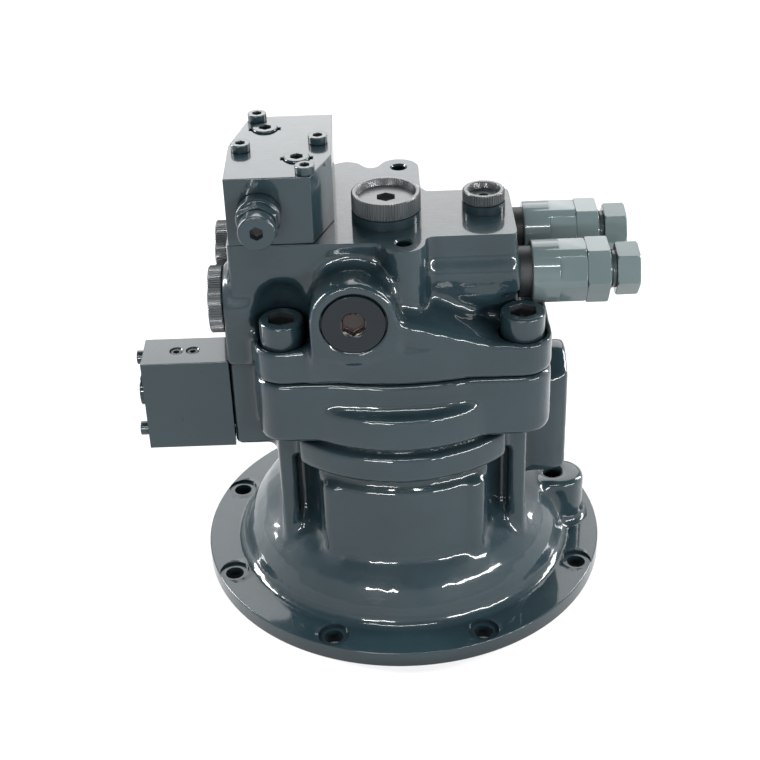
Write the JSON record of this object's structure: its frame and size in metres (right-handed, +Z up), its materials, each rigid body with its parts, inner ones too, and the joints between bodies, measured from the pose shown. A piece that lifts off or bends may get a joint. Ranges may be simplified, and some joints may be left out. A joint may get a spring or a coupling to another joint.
{
  "type": "swing motor",
  "caption": "Hydraulic swing motor: round mounting flange, cast barrel casing, rear cover with relief and make-up valves, knurled port caps and two bolted valve blocks.",
  "frame": {"origin": "centre of the mounting flange's lower face, on the shaft's axis", "axes": "+Z up along the shaft towards the rear cover, +X towards the relief valves, -Y towards the lock nut and the front make-up plug"},
  "size_m": [0.3486, 0.3, 0.3383],
  "materials": {
    "casting_paint": "glossy dark blue-grey paint",
    "valve_paint": "glossy grey-green paint",
    "bright_steel": "ground steel",
    "dark_steel": "black oxide, oiled",
    "bronze": "machined bronze",
    "brake_lining": "paper friction lining",
    "seal_rubber": "nitrile rubber",
    "cap_finish": "satin dark grey paint over knurling"
  },
  "bodies": {
    "housing": {"motor_casing": "casting_paint", "rear_cover": "casting_paint", "cover_bolts": "casting_paint", "make_up_plugs": "casting_paint", "valve_block": "casting_paint", "valve_block_bolts": "casting_paint", "valve_block_plugs": "casting_paint", "spring_cap": "casting_paint", "brake_valve_block": "casting_paint", "brake_valve_bolts": "casting_paint", "brake_valve_plug": "casting_paint", "relief_bodies": "valve_paint", "relief_adapters": "valve_paint", "relief_adjusters": "valve_paint", "lock_nut": "valve_paint", "adjusting_screw": "valve_paint", "dowel_pins": "bright_steel", "front_bearing_outer": "bright_steel", "rear_bearing_outer": "bright_steel", "swash_plate": "bright_steel", "seal_retaining_ring": "dark_steel", "separator_plates": "dark_steel", "brake_springs": "dark_steel", "make_up_spring_front": "dark_steel", "make_up_spring_rear": "dark_steel", "relief_spring_front": "dark_steel", "relief_spring_rear": "dark_steel", "reversal_spring": "dark_steel", "brake_spool_spring": "dark_steel", "brake_valve_small_plugs": "dark_steel", "valve_plate": "bronze", "cover_seal_ring": "seal_rubber", "shaft_seal": "seal_rubber", "top_port_cap": "cap_finish", "main_port_caps": "cap_finish", "drain_port_cap": "cap_finish"},
    "rotor": {"drive_shaft": "bright_steel", "cylinder_block": "bright_steel", "pistons": "bright_steel", "retainer_bush": "bright_steel", "push_pins": "bright_steel", "block_spring": "dark_steel", "spring_washers": "dark_steel", "friction_plates": "brake_lining", "front_bearing_inner": "bright_steel", "rear_bearing_inner": "bright_steel"},
    "shoe_group": {"piston_shoes": "bronze", "retainer_plate": "bright_steel"},
    "front_ball_cage": {"front_bearing_balls": "bright_steel"},
    "rear_roller_cage": {"rear_bearing_rollers": "bright_steel"},
    "brake_ring": {"brake_piston": "bright_steel", "brake_piston_rings": "seal_rubber"},
    "front_make_up_poppet": {"make_up_poppet_front": "bright_steel"},
    "rear_make_up_poppet": {"make_up_poppet_rear": "bright_steel"},
    "front_relief_poppet": {"relief_poppet_front": "bright_steel"},
    "rear_relief_poppet": {"relief_poppet_rear": "bright_steel"},
    "reversal_valve": {"reversal_spool": "bright_steel"},
    "brake_timing_valve": {"brake_spool": "bright_steel"}
  },
  "joints": [
    {"name": "shaft_spin", "type": "hinge", "parent": "housing", "child": "rotor", "pos_m": [0, 0, 0], "axis": [0, 0, 1], "continuous": true},
    {"name": "shoe_group_spin", "type": "hinge", "parent": "housing", "child": "shoe_group", "pos_m": [0, 0, 0.11324], "axis": [0.225, 0, 0.9744], "continuous": true},
    {"name": "front_cage_spin", "type": "hinge", "parent": "housing", "child": "front_ball_cage", "pos_m": [0, 0, 0.074], "axis": [0, 0, 1], "continuous": true},
    {"name": "rear_cage_spin", "type": "hinge", "parent": "housing", "child": "rear_roller_cage", "pos_m": [0, 0, 0.2045], "axis": [0, 0, 1], "continuous": true},
    {"name": "brake_release", "type": "slide", "parent": "housing", "child": "brake_ring", "axis": [0, 0, 1], "range_m": [0, 0.002], "stiffness_N_per_m": 4000, "springref_m": -0.004, "deforming": ["brake_springs"]},
    {"name": "front_make_up_open", "type": "slide", "parent": "housing", "child": "front_make_up_poppet", "axis": [0, -1, 0], "range_m": [0, 0.006], "stiffness_N_per_m": 60, "springref_m": -0.006, "deforming": ["make_up_spring_front"]},
    {"name": "rear_make_up_open", "type": "slide", "parent": "housing", "child": "rear_make_up_poppet", "axis": [0, 1, 0], "range_m": [0, 0.006], "stiffness_N_per_m": 60, "springref_m": -0.006, "deforming": ["make_up_spring_rear"]},
    {"name": "front_relief_open", "type": "slide", "parent": "housing", "child": "front_relief_poppet", "axis": [1, 0, 0], "range_m": [0, 0.003], "stiffness_N_per_m": 200, "springref_m": -0.004, "deforming": ["relief_spring_front"]},
    {"name": "rear_relief_open", "type": "slide", "parent": "housing", "child": "rear_relief_poppet", "axis": [1, 0, 0], "range_m": [0, 0.003], "stiffness_N_per_m": 200, "springref_m": -0.004, "deforming": ["relief_spring_rear"]},
    {"name": "reversal_spool_slide", "type": "slide", "parent": "housing", "child": "reversal_valve", "axis": [0, 1, 0], "range_m": [-0.003, 0.003], "stiffness_N_per_m": 150, "deforming": ["reversal_spring"]},
    {"name": "brake_spool_slide", "type": "slide", "parent": "housing", "child": "brake_timing_valve", "axis": [-1, 0, 0], "range_m": [0, 0.005], "stiffness_N_per_m": 60, "springref_m": -0.005, "deforming": ["brake_spool_spring"]}
  ],
  "couplings": [
    {"joint": "shoe_group_spin", "follows": "shaft_spin", "ratio": 1},
    {"joint": "front_cage_spin", "follows": "shaft_spin", "ratio": 0.4037},
    {"joint": "rear_cage_spin", "follows": "shaft_spin", "ratio": 0.4117}
  ]
}
